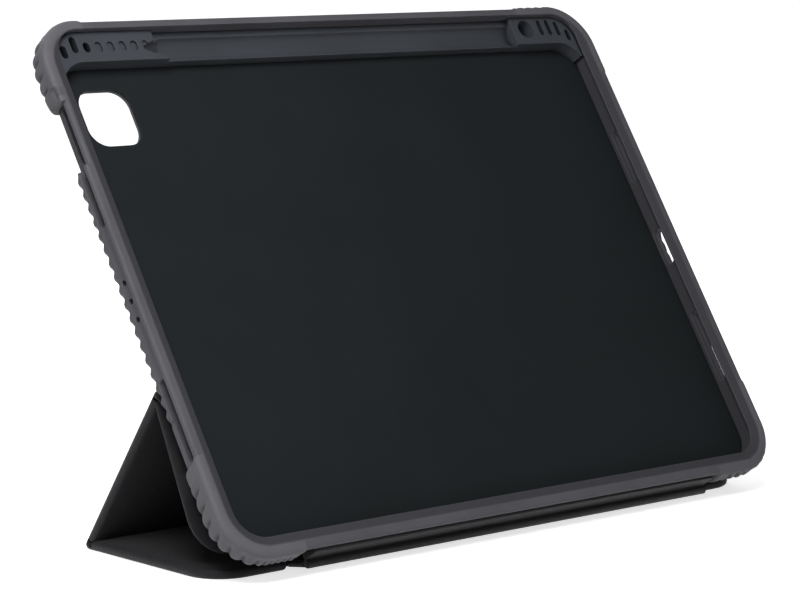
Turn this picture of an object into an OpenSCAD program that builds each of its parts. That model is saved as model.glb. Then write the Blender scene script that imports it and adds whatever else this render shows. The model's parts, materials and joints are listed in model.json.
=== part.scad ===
/* [Pocket] */
// Long side of the space in the pocket
space_w = 247.6; // [200:0.1:300]
// Short side of that space
space_h = 178.5; // [145:0.1:220]
// Depth of that space
space_t = 5.9; // [5:0.1:8]
// Corner radius of that space
space_r = 12; // [8:0.5:16]
// Clearance round that space
space_gap = 0.2; // [0.1:0.05:0.5]

/* [Bumper frame] */
// Thickness of the side and bottom walls
wall = 5; // [4.5:0.1:6]
// Thickness of the wall above the tray
top_wall = 3; // [2.5:0.1:4]
// Height of the front bead over the pocket's face
rim_rise = 2; // [1.6:0.1:3]
// Radius of the front bead's outer edge
bead_round = 1.2; // [0.8:0.1:1.5]
// Width of the front bead's flat crown, from its outer edge
crown_w = 3.2; // [2.6:0.1:4]
// Fall of the bead's inner slope, from the crown to the edge of the lip
lip_fall = 1.1; // [0.4:0.1:1.2]
// Depth that the walls stand back behind the front bead
waist = 1.4; // [0.6:0.1:1.5]
// Depth over which the bead's underside runs back to the wall
neck_h = 1.6; // [1:0.1:2]
// Radius of the frame's rear edge
rear_r = 3; // [2:0.1:3.4]
// Overhang of the lip over the pocket's edge
lip = 1.6; // [0.8:0.1:2]
// Thickness from the crown to the underside of that lip
lip_t = 1.7; // [1.6:0.1:2]
// Thickness of the flange behind the back plate
flange_t = 0.7; // [0.6:0.1:2]
// Width of the flange behind the back plate
flange_w = 4; // [3:0.5:5]

/* [Back plate] */
// Thickness of the hard back plate
plate_t = 1.5; // [1.4:0.1:3]
// Side of the camera cut-out
camera_w = 22; // [14:1:24]
// Corner radius of the camera cut-out
camera_r = 7; // [3:0.5:7]
// Distance of the cut-out's centre from the edges of the pocket's space
camera_in = 18.5; // [18.5:0.5:24]
// Width of the ring round the camera cut-out
bezel_w = 2.2; // [1.5:0.1:2.6]
// Height of that ring
bezel_h = 1; // [0.8:0.1:2]
// Length of the steel keeper strip
keeper_w = 150; // [60:1:180]
// Height of the keeper strip
keeper_h = 10; // [6:1:16]
// Thickness of the keeper strip
keeper_t = 0.5; // [0.3:0.1:0.7]
// Height of the keeper strip's centre over the pocket's lower edge
keeper_y = 18; // [12:1:40]

/* [Wall cut-outs] */
// Centre of the power key's cut-out from the pocket's top edge
power_in = 26; // [24:0.5:28]
// Length of the power key's cut-out
power_len = 22; // [12:0.5:22.5]
// Height of the power key's cut-out
power_h = 3.6; // [3:0.1:4.4]
// Shift of the power key's cut-out towards the front
power_rise = 0.6; // [0:0.1:0.8]
// Depth of the finger scoop in the wall beside the power key
scoop_h = 2.2; // [0.6:0.1:2.2]
// Depth of the finger scoop in the front bead
scoop_lip = 1.4; // [0.4:0.1:1.6]
// Length of the finger scoop, down from the upper left bumper
scoop_len = 26.5; // [26:0.5:32]
// Centre of the upper speaker slots from the pocket's top edge
speaker_in = 50; // [49:0.5:56]
// Length of the upper speaker slots
speaker_len = 22; // [10:0.5:22.5]
// Centre of the lower speaker slots from the pocket's lower edge
low_speaker_in = 46.7; // [42:0.5:52]
// Length of the lower speaker slots
low_speaker_len = 29.5; // [15:0.5:32]
// Height of the speaker slots
speaker_h = 3.2; // [1.5:0.1:3.6]
// Shift of the speaker slots towards the front
speaker_rise = 0.2; // [0:0.1:1]
// Diameter of the microphone holes
mic_d = 2; // [1:0.1:3]
// Spacing of the microphone holes
mic_step = 6.7; // [4:0.1:8]
// Height of the middle microphone hole over the middle of the wall
mic_rise = 0.8; // [0:0.1:2]
// Length of the charging port's cut-out
port_len = 15; // [10:0.5:18]
// Height of the charging port's cut-out
port_h = 5.2; // [4:0.1:5.4]

/* [Tray] */
// Diameter of the tray's round channel
channel_d = 9.4; // [8:0.1:10]
// Height of the channel's floor over the back plate
channel_rise = 0.5; // [0.3:0.1:1]
// Width of the tray
tray_w = 11.7; // [11:0.1:14]
// Depth of the end blocks' faces under the pocket's face
block_drop = 0.3; // [0:0.1:1.5]
// Length of the left block
tip_block_len = 48.5; // [46:0.5:60]
// Length of the right block
end_block_len = 32.5; // [31:0.5:50]
// Distance of the left block's first slot from the pocket's end
tip_slot_in = 5.2; // [4:0.1:6]
// Width of the slots in the left block
tip_slot_w = 2.8; // [2:0.1:3.2]
// Spacing of the left block's slots and dimples
tip_slot_step = 5; // [4:0.1:5.2]
// Number of shallow dimples
dimple_count = 5; // [1:1:5]
// Length of the shallow dimples
dimple_len = 4; // [3.4:0.1:6]
// Depth of the shallow dimples
dimple_h = 0.7; // [0.3:0.1:1.5]
// Length of the conical socket in the left block
socket_len = 9; // [5:0.5:10]
// Length of the step beside the socket
socket_step = 4; // [2:0.5:6]
// Distance of the round hole from the right block's inner end
eject_in = 7.2; // [5:0.1:8]
// Diameter of that hole
eject_d = 7.8; // [4:0.1:8]
// Distance of the right block's first slot from its inner end
end_slot_in = 15; // [14:0.1:16]
// Width of the slots in the right block
end_slot_w = 2.2; // [1.5:0.1:2.6]
// Spacing of the slots in the right block
end_slot_step = 4.4; // [4:0.1:4.6]
// Number of slots in the right block
end_slot_count = 4; // [1:1:4]
// Depth of the channel's shoulders under the pocket's face
cradle_drop = 2.4; // [1.5:0.1:3.5]

/* [Corner bumpers] */
// Thickness of the corner bumpers over the front bead
bumper_t = 0.8; // [0.6:0.1:1.6]
// Fall of the bumpers' shoulder from the bead's crown
bumper_shoulder = 1.3; // [1:0.1:2]
// Radius of the bumpers' rear edge
bumper_round = 4.5; // [3.5:0.1:5]
// Thickness of the bumpers' feet behind the frame
bumper_foot = 0.5; // [0.4:0.1:1]
// Width of the bumpers' feet behind the frame
bumper_foot_w = 7; // [6:0.5:9]
// Length of the upper bumpers down the side walls
top_bumper_leg = 11; // [4:0.5:11]
// Length of the lower bumpers up the side walls
low_bumper_leg = 15.5; // [8:0.5:16.5]
// Reach of the upper left bumper along the top wall
top_left_reach = 1; // [0.5:0.5:30]
// Reach of the upper right bumper along the top wall
top_right_reach = 15.5; // [0.5:0.5:30]
// Reach of the lower left bumper along the bottom wall
low_left_reach = 10; // [4:0.5:30]
// Reach of the lower right bumper along the bottom wall
low_right_reach = 13; // [4:0.5:30]
// Radius of the scallops that make the ribs
scallop_r = 3; // [2:0.1:4]
// Depth of the scallops
scallop_h = 1; // [0.5:0.1:1.2]
// Spacing of the scallops
scallop_step = 6; // [5:0.1:8]
// Lean of the scallops, which lets them fade towards the front
scallop_lean = 38; // [30:1:45]

/* [Grip ribs] */
// Height of the grip ridges over the walls' rear edges
grip_t = 0.5; // [0.3:0.1:0.8]
// Depth of the scallops between the grip ribs
grip_scallop_h = 0.9; // [0.4:0.1:1.1]
// Height of the side grips' lower ends over the pocket's lower edge
grip_low = 47; // [40:0.5:60]
// Number of ribs on each side wall
side_ribs = 18; // [10:1:20]
// Number of ribs on each patch of the top wall
top_ribs = 3; // [2:1:5]
// Place of the left patch along the top wall
top_grip_left = -35.5; // [-60:0.5:-20]
// Place of the right patch along the top wall
top_grip_right = 42.5; // [20:0.5:60]

/* [Cover] */
// Distance of the cover's sides inside the case's sides
cover_inset = 3; // [1:0.5:10]
// Thickness of the cover's panels
panel_t = 3.6; // [3:0.1:4.4]
// Thickness of the outer skin
skin_t = 1; // [0.6:0.1:1.2]
// Thickness of the inner lining
lining_t = 0.6; // [0.4:0.1:0.8]
// Width of the welded edge round the boards
edge_w = 4; // [3:0.1:6]
// Clearance between the spine strip and the lower bumpers
spine_gap = 3.2; // [1:0.1:10]
// Thickness of the spine strip
spine_t = 2.4; // [2:0.1:2.8]
// Distance of the spine's pivot from the plane of the case's back
pivot_in = 0.9; // [0.8:0.1:1.4]
// Length of the panel that lies on the table, between its folds
base_len = 66.5; // [60:0.1:70]
// Reach of the base panel's ears past its front fold
ear_len = 3; // [1.8:0.1:4]
// Length of the panel that rises behind the case
strut_len = 68; // [62:0.1:72]
// Length of the last panel
flap_len = 55; // [40:0.1:56]
// Corner radius of the base panel's front corners
base_r = 18; // [6:1:24]
// Corner radius of the last panel's free corners
flap_r = 13; // [6:1:20]
// Radius of the panels' corners at the folds
fold_corner_r = 3; // [1:0.5:6]
// Clearance round the fold beads
fold_gap = 0.2; // [0.15:0.05:0.3]
// Clearance of the closed cover over the front bead
cover_gap = 0.6; // [0.3:0.1:2]
// Height of the anchor flange over the front bead's lower edge
anchor_proud = 0.7; // [0.5:0.1:1]
// Depth of the anchor flange's recess in the bottom wall
anchor_seat = 0.5; // [0.3:0.1:1]
// Thickness of the anchor's web
web_t = 1; // [0.6:0.1:1]
// Diameter of the magnets in the last panel
magnet_d = 8; // [5:0.5:10]
// Number of magnets in the last panel
magnet_count = 6; // [2:1:10]
// Distance of the magnets from the last panel's free edge
magnet_in = 14; // [10:1:24]

/* [Stand pose] */
// Lean of the case from the table
lean = 57; // [55:0.5:60]
// Height of the spine's pivot over the table
pivot_h = 3.5; // [2.4:0.1:4]
// Gap between the top fold and the case's back
stand_gap = 0.7; // [0.5:0.1:2]
// Angle of the last panel off the case's back
flap_tilt = 8; // [6:0.5:10]

/* [Hidden] */
$fn = 48;
far = 400;
past = 1;
seat = 0.05;
blend = 0.1;

// Pocket and frame, in the case's own frame: x along the long side, y up the pocket's face, z out of it
pocket_x = space_w / 2 + space_gap;
pocket_y0 = -space_gap;
tray_y0 = space_h + space_gap;
pocket_y1 = tray_y0 + tray_w;
plate_z = -space_t - space_gap;
plate_back = plate_z - plate_t;
back_z = plate_back - flange_t;
frame_w = 2 * (pocket_x + wall);
frame_y0 = pocket_y0 - wall;
frame_y1 = pocket_y1 + top_wall;
frame_h = frame_y1 - frame_y0;
frame_mid = (frame_y0 + frame_y1) / 2;
frame_r = space_r + wall;
mid_z = -space_t / 2;
bead_z = rim_rise - bead_round;
neck_z = bead_z - neck_h;
lip_edge = wall + lip;

// Grips on the walls: the side ones run up to the finger scoop
scoop_y1 = frame_y1 - frame_r - top_bumper_leg;
grip_y1 = scoop_y1 - scoop_len;
top_grip_x = [top_grip_left, top_grip_right];
top_grip_len = top_ribs * scallop_step;
foot_z = back_z - bumper_foot;

// Tray
channel_y = tray_y0 + channel_d / 2;
channel_z = plate_z + channel_d / 2 + channel_rise;
tip_end = -pocket_x + tip_block_len;
cradle_end = pocket_x - end_block_len;
block_z = -block_drop;
slot_wall = 1.3;
slot_lift = 3.6;
step_rise = 3.2;
socket_tip_r = 1;

// Cover sizes
cover_w = frame_w - 2 * cover_inset;
spine_w = frame_w - 2 * (frame_r + max(low_left_reach, low_right_reach) + bumper_t + spine_gap);
bead_r = panel_t / 2;
bead_short = 1;
spine_relief = 0.6;
spine_corner = 0.5;
spine_board_in = 3.4;
board_in = edge_w + 2;
base_board_w = cover_w - 2 * base_r;
flap_board_w = cover_w - 2 * flap_r + 2 * edge_w;
anchor_bead_r = spine_t / 2 + 0.3;
anchor_top = neck_z;
recess_gap = 0.2;

// Cover folds in the case's frame, and on the table
pivot_y = frame_y0 - anchor_proud - anchor_bead_r;
pivot_z = back_z + pivot_in;
closed_z = rim_rise + cover_gap + panel_t / 2;
spine_len = closed_z - pivot_z;
case_lift = pivot_h - pivot_y * sin(lean) - pivot_z * cos(lean);
function table(p) = [p.x * cos(lean) - p.y * sin(lean), p.x * sin(lean) + p.y * cos(lean) + case_lift];
function face(p) =
    let (h = p.y - case_lift)
    [p.x * cos(lean) + h * sin(lean), -p.x * sin(lean) + h * cos(lean)];
function heading(a, b) = atan2(b.y - a.y, b.x - a.x);
spine_at = table([pivot_y, pivot_z]);
front_at = [spine_at.x + sqrt(pow(spine_len, 2) - pow(spine_at.y - panel_t / 2, 2)), panel_t / 2];
rear_at = [front_at.x + base_len, panel_t / 2];
rear_face = face(rear_at);
top_z = back_z - stand_gap - panel_t / 2;
top_y = rear_face.x + sqrt(pow(strut_len, 2) - pow(top_z - rear_face.y, 2));
top_at = table([top_y, top_z]);
spine_turn = heading(spine_at, front_at);
strut_turn = heading(rear_at, top_at);
flap_turn = lean + 180 + flap_tilt;
stand_y = -(front_at.x + rear_at.x) / 2;

// Angles that the panels keep to at their folds, on each side of the panel
fold_margin = 1.5;
rear_half = (180 - strut_turn) / 2 - fold_margin;
top_half = (180 - flap_turn + strut_turn) / 2 - fold_margin;
square_half = 45 - fold_margin;
flat_half = 89;
front_half = 84;
anchor_half = 69;
web_half = 55;

bumper_grey = "#6c6b70";
frame_grey = "#56555a";
slate = "#3a3e42";
cover_black = "#222226";
lining_black = "#2c2c30";
board_grey = "#77777a";
steel = "#9a9da1";

// Places
module in_case() {
    translate([0, stand_y, case_lift]) rotate([lean, 0, 0]) children();
}

module on_panel(at, turn) {
    translate([0, stand_y + at.x, at.y]) rotate([turn, 0, 0]) children();
}

module at_frame() {
    translate([0, frame_mid, 0]) children();
}

// Flat outlines
module rounded(w, h, r) {
    square([w, h - 2 * r], center = true);
    square([w - 2 * r, h], center = true);
    for (x = [-1, 1], y = [-1, 1])
        translate([x * (w / 2 - r), y * (h / 2 - r)]) circle(r);
}

module rounded_between(x, y0, y1, r) {
    translate([0, (y0 + y1) / 2]) rounded(2 * x, y1 - y0, r);
}

module pocket_plan(grow = 0) {
    rounded_between(pocket_x + grow, pocket_y0 - grow, pocket_y1 + grow, space_r + grow);
}

module slab(z0, z1) {
    translate([0, 0, z0]) linear_extrude(z1 - z0) children();
}

module round_slot(len, w, h) {
    linear_extrude(h) {
        square([w, len - w], center = true);
        for (y = [-1, 1]) translate([0, y * (len - w) / 2]) circle(w / 2);
    }
}

// Corners of the frame, counted round from the upper right one
function side_length(i) = i % 2 == 0 ? frame_h : frame_w;
function side_reach(i) = i % 2 == 0 ? frame_w : frame_h;

module at_corner(i) {
    at_frame() rotate([0, 0, 90 * i])
        translate([side_reach(i) / 2 - frame_r, side_length(i) / 2 - frame_r, 0]) children();
}

// A section taken round one corner, with straight runs before and after it: its x points outwards
module corner_run(i, before, after) {
    at_corner(i) {
        if (before > 0) translate([frame_r, 0, 0]) rotate([90, 0, 0]) linear_extrude(before) children();
        rotate_extrude(angle = 90) translate([frame_r, 0]) children();
        if (after > 0) translate([-after, frame_r, 0]) rotate([90, 0, 90]) linear_extrude(after) children();
    }
}

module ring() {
    for (i = [0:3]) corner_run(i, side_length(i) - 2 * frame_r, 0) children();
}

// Section through the frame from its outer face inwards: the bead's crown and inner slope, its round edge,
// the neck under it, the wall behind it and the round rear edge
module frame_section() {
    deep = wall + flange_w + blend;
    slope = lip_fall / (lip_edge - crown_w);
    rear = [-waist - rear_r, back_z + rear_r];
    translate([-bead_round, bead_z]) circle(bead_round);
    translate(rear) circle(rear_r);
    polygon([[-deep, rim_rise - (deep - crown_w) * slope],
        [-crown_w, rim_rise], [-bead_round, rim_rise],
        [-bead_round, bead_z], [0, bead_z],
        [-waist, neck_z], [-waist, rear.y],
        [rear.x, rear.y], [rear.x, back_z], [-deep, back_z]]);
}

// Bumper frame
module bumper_frame() {
    color(frame_grey) in_case() difference() {
        union() {
            ring() frame_section();
            for (side = [-1, 1]) on_side(side) grip_ridge(grip_low, grip_y1);
            for (x = top_grip_x) on_top() grip_ridge(x - top_grip_len / 2, x + top_grip_len / 2);
        }
        slab(plate_back, rim_rise - lip_t) pocket_plan();
        slab(rim_rise - lip_t - past, far)
            rounded_between(pocket_x - lip, pocket_y0 + lip, pocket_y1, space_r - lip);
        slab(back_z - past, plate_back + past)
            rounded_between(pocket_x - flange_w, pocket_y0 + flange_w, pocket_y1 - flange_w, space_r);
        for (side = [-1, 1]) on_side(side) grip_scallops(grip_low, grip_y1, side_ribs);
        for (x = top_grip_x)
            on_top() grip_scallops(x - top_grip_len / 2, x + top_grip_len / 2, top_ribs);
        finger_scoop();
        wall_cutouts();
        anchor_recess();
    }
}

// Along a wall: x points out of it, from the bead's outer edge, and y runs along it
module on_side(side) {
    translate([side * frame_w / 2, 0, 0]) mirror([side < 0 ? 1 : 0, 0, 0]) children();
}

module on_top() {
    translate([0, frame_y1, 0]) rotate([0, 0, 90]) mirror([0, 1, 0]) children();
}

// A place on a round rear edge: z runs along the lean of the scallops, and x points out at mid round
module at_rear_round(out, r, foot) {
    translate([out - r, 0, foot + r]) rotate([0, scallop_lean, 0]) translate([r, 0, 0]) children();
}

module leaning_scallop(h) {
    reach = rim_rise - back_z;
    translate([scallop_r - h, 0, -reach]) cylinder(r = scallop_r, h = 2 * reach);
}

module grip_ridge(y0, y1) {
    r = rear_r + grip_t;
    translate([-waist - rear_r, y0, back_z + rear_r]) rotate([-90, 0, 0]) cylinder(r = r, h = y1 - y0);
}

module grip_scallops(y0, y1, count) {
    for (k = [0:count]) translate([0, y0 + k * (y1 - y0) / count, 0])
        at_rear_round(-waist + grip_t, rear_r + grip_t, back_z - grip_t) leaning_scallop(grip_scallop_h);
}

// Scoop in the left wall, which bares the power key to a finger
module finger_scoop() {
    on_side(-1) translate([0, scoop_y1, 0]) rotate([90, 0, 0]) linear_extrude(scoop_len) {
        scoop_section(scoop_h, waist + rear_r, back_z - past, neck_z);
        scoop_section(scoop_lip, crown_w, neck_z, rim_rise);
    }
}

// What the scoop takes off the frame's section between two heights, out from the given depth
module scoop_section(h, depth, z0, z1) {
    deep = depth + h;
    difference() {
        translate([-deep, z0]) square([deep + past, z1 - z0]);
        translate([-h, 0]) frame_section();
    }
}

// Openings through the side walls: side is -1 on the left and 1 on the right
module through_wall(side, y, rise) {
    translate([side * (pocket_x + wall / 2) - wall, y, mid_z + rise]) rotate([0, 90, 0]) children();
}

module wall_slot(side, y, rise, len, h) {
    through_wall(side, y, rise) round_slot(len, h, 2 * wall);
}

module wall_cutouts() {
    wall_slot(-1, space_h - power_in, power_rise, power_len, power_h);
    wall_slot(1, space_h / 2, 0, port_len, port_h);
    for (side = [-1, 1]) {
        wall_slot(side, space_h - speaker_in, speaker_rise, speaker_len, speaker_h);
        wall_slot(side, low_speaker_in, speaker_rise, low_speaker_len, speaker_h);
    }
    for (k = [-1:1])
        through_wall(-1, space_h / 2 + mic_rise + k * mic_step, 0) cylinder(d = mic_d, h = 2 * wall);
}

module anchor_recess() {
    translate([-spine_w / 2 - recess_gap, frame_y0 - far, back_z - past])
        cube([spine_w + 2 * recess_gap, far + waist + anchor_seat, anchor_top + recess_gap - back_z + past]);
}

// Back plate, camera ring and the keeper strip inside the plate
module camera_plan(grow) {
    translate([-space_w / 2 + camera_in, space_h - camera_in])
        rounded(camera_w + 2 * grow, camera_w + 2 * grow, camera_r + grow);
}

module keeper_block(grow) {
    translate([0, keeper_y, (plate_z + plate_back) / 2])
        cube([keeper_w + 2 * grow, keeper_h + 2 * grow, keeper_t + 2 * grow], center = true);
}

module back_plate() {
    color(slate) in_case() difference() {
        slab(plate_back, plate_z) difference() {
            pocket_plan();
            camera_plan(0);
        }
        keeper_block(seat);
    }
}

module camera_bezel() {
    color(frame_grey) in_case() slab(plate_back - bezel_h, plate_back) difference() {
        camera_plan(bezel_w);
        camera_plan(0);
    }
}

module keeper_plate() {
    color(steel) in_case() keeper_block(0);
}

// Corner bumpers, with a leg along each edge and a round end to each leg
module bumper_section() {
    shoulder_z = rim_rise - bumper_shoulder;
    under = waist + blend;
    edge = bead_round - blend;
    difference() {
        union() {
            translate([-bumper_foot_w, foot_z]) square([bumper_foot_w + bumper_t - bumper_round, bumper_round]);
            translate([bumper_t - bumper_round, foot_z + bumper_round]) circle(bumper_round);
            polygon([[-under, foot_z + bumper_round],
                [bumper_t, foot_z + bumper_round],
                [bumper_t, shoulder_z],
                [edge * sin(45) - bead_round, bead_z + edge * cos(45)],
                [-bead_round, bead_z],
                [-under, bead_z]]);
        }
        frame_section();
    }
}

module bumper_end() {
    rotate_extrude(angle = 90) intersection() {
        bumper_section();
        translate([0, back_z - far / 2]) square(far);
    }
}

module bumper_ends(i, before, after) {
    at_corner(i) {
        translate([frame_r, -before, 0]) rotate([0, 0, -90]) bumper_end();
        translate([-after, frame_r, 0]) rotate([0, 0, 90]) bumper_end();
    }
}

module scallop() {
    at_rear_round(bumper_t, bumper_round, foot_z) leaning_scallop(scallop_h);
}

module corner_scallops(i, before, after) {
    count = floor(PI / 2 * (frame_r + bumper_t) / scallop_step);
    at_corner(i) {
        for (k = [0.5:1:count]) rotate([0, 0, 90 * k / count]) translate([frame_r, 0, 0]) scallop();
        for (s = [scallop_step / 2:scallop_step:before]) translate([frame_r, -s, 0]) scallop();
        for (s = [scallop_step / 2:scallop_step:after])
            translate([-s, frame_r, 0]) rotate([0, 0, 90]) scallop();
    }
}

module corner_bumper(i, before, after) {
    color(bumper_grey) in_case() difference() {
        union() {
            corner_run(i, before, after) bumper_section();
            bumper_ends(i, before, after);
        }
        corner_scallops(i, before, after);
    }
}

module corner_bumper_top_right() {
    corner_bumper(0, top_bumper_leg, top_right_reach);
}

module corner_bumper_top_left() {
    corner_bumper(1, top_left_reach, top_bumper_leg);
}

module corner_bumper_bottom_left() {
    corner_bumper(2, low_bumper_leg, low_left_reach);
}

module corner_bumper_bottom_right() {
    corner_bumper(3, low_right_reach, low_bumper_leg);
}

// Tray: the blocks fill its ends down to the round corners of the pocket's space
module block_plan(x0, x1) {
    difference() {
        intersection() {
            pocket_plan(-seat);
            translate([x0, tray_y0 - space_r / 2]) square([x1 - x0, far]);
        }
        rounded_between(pocket_x, pocket_y0, tray_y0, space_r);
    }
}

// How far into the pocket's round corner a place at x lies
function corner_reach(x) = max(0, abs(x) - pocket_x + space_r);

// Ends of a slot at x: both follow the round corners, that of the tray and that of the space under it
function slot_top(x, w) =
    pocket_y1 - space_r + sqrt(pow(space_r - slot_wall, 2) - pow(corner_reach(abs(x) + w / 2), 2));
function slot_low(x) =
    tray_y0 + slot_lift - space_r + sqrt(pow(space_r, 2) - pow(corner_reach(x), 2));

module face_slot(x, y0, y1, w, h) {
    translate([x, (y0 + y1) / 2, block_z - h]) round_slot(y1 - y0, w, h + past);
}

module tray_tip_block() {
    through = block_z - plate_z + past;
    first_x = -pocket_x + tip_slot_in;
    color(slate) in_case() difference() {
        slab(plate_z, block_z) block_plan(-far, tip_end);
        for (k = [0:1]) let (x = first_x + k * tip_slot_step)
            face_slot(x, slot_low(x), slot_top(x, tip_slot_w), tip_slot_w, through);
        for (k = [2:2 + dimple_count]) let (x = first_x + k * tip_slot_step)
            face_slot(x, slot_low(x), slot_low(x) + dimple_len, tip_slot_w, k == 2 ? through : dimple_h);
        translate([tip_end - socket_len, channel_y, channel_z]) rotate([0, 90, 0])
            cylinder(r1 = socket_tip_r, r2 = channel_d / 2, h = socket_len + seat);
        translate([tip_end - socket_step, channel_y + step_rise, -cradle_drop]) cube(far);
    }
}

module tray_end_block() {
    through = block_z - plate_z + past;
    color(slate) in_case() difference() {
        slab(plate_z, block_z) block_plan(cradle_end, far);
        translate([cradle_end + eject_in, pocket_y1 - slot_wall - eject_d / 2, block_z - through])
            cylinder(d = eject_d, h = through + past);
        for (k = [0:end_slot_count - 1]) let (x = cradle_end + end_slot_in + k * end_slot_step)
            face_slot(x, slot_low(x), slot_top(x, end_slot_w), end_slot_w, through);
    }
}

module tray_cradle() {
    len = cradle_end - tip_end;
    color(slate) in_case() difference() {
        translate([tip_end, tray_y0, plate_z]) cube([len, tray_w - seat, -cradle_drop - plate_z]);
        translate([tip_end - past, channel_y, channel_z]) rotate([0, 90, 0])
            cylinder(d = channel_d, h = len + 2 * past);
    }
}

// Cover panels: y runs from one fold to the next, z points to the outer skin
module panel_plan(w, y0, y1, r0, r1) {
    mid = (y0 + y1) / 2;
    translate([-w / 2, y0 + r0]) square([w, y1 - r1 - y0 - r0]);
    translate([-w / 2 + r0, y0]) square([w - 2 * r0, mid - y0]);
    translate([-w / 2 + r1, mid]) square([w - 2 * r1, y1 - mid]);
    for (side = [-1, 1]) {
        translate([side * (w / 2 - r0), y0 + r0]) circle(r0);
        translate([side * (w / 2 - r1), y1 - r1]) circle(r1);
    }
}

// Room for a fold at y = 0: the panel keeps to these angles on its skin and lining sides
module fold_cut(w, r, skin_angle, lining_angle) {
    reach = 3 * panel_t;
    translate([-w / 2, 0, 0]) rotate([90, 0, 90]) linear_extrude(w) {
        circle(r + fold_gap);
        polygon([[fold_gap, 0],
            [fold_gap + reach * cos(skin_angle), reach * sin(skin_angle)],
            [-reach, reach * sin(skin_angle)],
            [-reach, -reach * sin(lining_angle)],
            [fold_gap + reach * cos(lining_angle), -reach * sin(lining_angle)]]);
    }
}

module fold_cut_end(len, w, r, skin_angle, lining_angle) {
    translate([0, len, 0]) mirror([0, 1, 0]) fold_cut(w, r, skin_angle, lining_angle);
}

module fold_bead(at, w) {
    on_panel(at, 0) translate([-w / 2, 0, 0]) rotate([0, 90, 0]) cylinder(r = bead_r, h = w);
}

// A stiffening board between the skin and the lining, and the room that it takes out of the skin
module board_block(w, t, y0, y1) {
    translate([-w / 2 + edge_w, y0, -t / 2 + lining_t]) cube([w - 2 * edge_w, y1 - y0, t - skin_t - lining_t]);
}

module board_room(w, t, y0, y1) {
    translate([-w / 2 + edge_w - seat, y0 - seat, -t / 2 + lining_t - past])
        cube([w - 2 * edge_w + 2 * seat, y1 - y0 + 2 * seat, t - skin_t - lining_t + past]);
}

// Spine strip and its anchor under the bottom wall
module spine_anchor() {
    color(cover_black) in_case() translate([-spine_w / 2, 0, 0]) {
        translate([0, frame_y0 - anchor_proud, pivot_z])
            cube([spine_w, anchor_proud + waist + anchor_seat, anchor_top - pivot_z]);
        translate([0, pivot_y, pivot_z]) cube([spine_w, anchor_bead_r + anchor_proud / 2, web_t]);
        translate([0, pivot_y, pivot_z]) rotate([0, 90, 0]) cylinder(r = anchor_bead_r, h = spine_w);
    }
}

module spine_layer(z0, z1) {
    difference() {
        slab(z0, z1) panel_plan(spine_w, 0, spine_len, spine_corner, spine_corner);
        fold_cut(far, anchor_bead_r, web_half, anchor_half);
        fold_cut_end(spine_len, far, bead_r, front_half, square_half);
        children();
    }
}

module spine_skin() {
    color(cover_black) on_panel(spine_at, spine_turn) spine_layer(-spine_t / 2 + lining_t, spine_t / 2)
        board_room(spine_w, spine_t, spine_board_in, spine_len - spine_board_in);
}

module spine_stiffener() {
    color(board_grey) on_panel(spine_at, spine_turn)
        board_block(spine_w, spine_t, spine_board_in, spine_len - spine_board_in);
}

module spine_lining() {
    color(lining_black) on_panel(spine_at, spine_turn) spine_layer(-spine_t / 2, -spine_t / 2 + lining_t);
}

module front_fold() {
    color(cover_black) fold_bead(front_at, spine_w - 2 * bead_short);
}

// Base panel on the table
module base_layer(z0, z1) {
    difference() {
        slab(z0, z1) panel_plan(cover_w, -ear_len, base_len, base_r, fold_corner_r);
        fold_cut(spine_w + 2 * spine_relief, bead_r, front_half, square_half);
        fold_cut_end(base_len, far, bead_r, rear_half, flat_half);
        children();
    }
}

module base_skin() {
    color(cover_black) on_panel(front_at, 0) base_layer(-panel_t / 2 + lining_t, panel_t / 2)
        board_room(base_board_w, panel_t, board_in, base_len - board_in);
}

module base_board() {
    color(board_grey) on_panel(front_at, 0) board_block(base_board_w, panel_t, board_in, base_len - board_in);
}

module base_lining() {
    color(lining_black) on_panel(front_at, 0) base_layer(-panel_t / 2, -panel_t / 2 + lining_t);
}

module rear_fold() {
    color(cover_black) fold_bead(rear_at, cover_w - 2 * bead_short);
}

// Strut panel behind the case
module strut_layer(z0, z1) {
    difference() {
        slab(z0, z1) panel_plan(cover_w, 0, strut_len, fold_corner_r, fold_corner_r);
        fold_cut(far, bead_r, rear_half, flat_half);
        fold_cut_end(strut_len, far, bead_r, top_half, flat_half);
        children();
    }
}

module strut_skin() {
    color(cover_black) on_panel(rear_at, strut_turn) strut_layer(-panel_t / 2 + lining_t, panel_t / 2)
        board_room(cover_w, panel_t, board_in, strut_len - board_in);
}

module strut_board() {
    color(board_grey) on_panel(rear_at, strut_turn) board_block(cover_w, panel_t, board_in, strut_len - board_in);
}

module strut_lining() {
    color(lining_black) on_panel(rear_at, strut_turn) strut_layer(-panel_t / 2, -panel_t / 2 + lining_t);
}

module top_fold() {
    color(cover_black) fold_bead(top_at, cover_w - 2 * bead_short);
}

// Flap along the case's back, with its magnets
module flap_layer(z0, z1) {
    difference() {
        slab(z0, z1) panel_plan(cover_w, 0, flap_len, fold_corner_r, flap_r);
        fold_cut(far, bead_r, top_half, flat_half);
        children();
    }
}

module magnet_row(d, z0, z1) {
    step = keeper_w / magnet_count;
    for (k = [0.5:1:magnet_count])
        translate([k * step - keeper_w / 2, flap_len - magnet_in, z0]) cylinder(d = d, h = z1 - z0);
}

module flap_skin() {
    color(cover_black) on_panel(top_at, flap_turn) flap_layer(-panel_t / 2 + lining_t, panel_t / 2)
        board_room(flap_board_w, panel_t, board_in, flap_len - edge_w);
}

module flap_board() {
    color(board_grey) on_panel(top_at, flap_turn) difference() {
        board_block(flap_board_w, panel_t, board_in, flap_len - edge_w);
        magnet_row(magnet_d + 2 * seat, -panel_t, panel_t);
    }
}

module flap_lining() {
    color(lining_black) on_panel(top_at, flap_turn) flap_layer(-panel_t / 2, -panel_t / 2 + lining_t);
}

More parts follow.
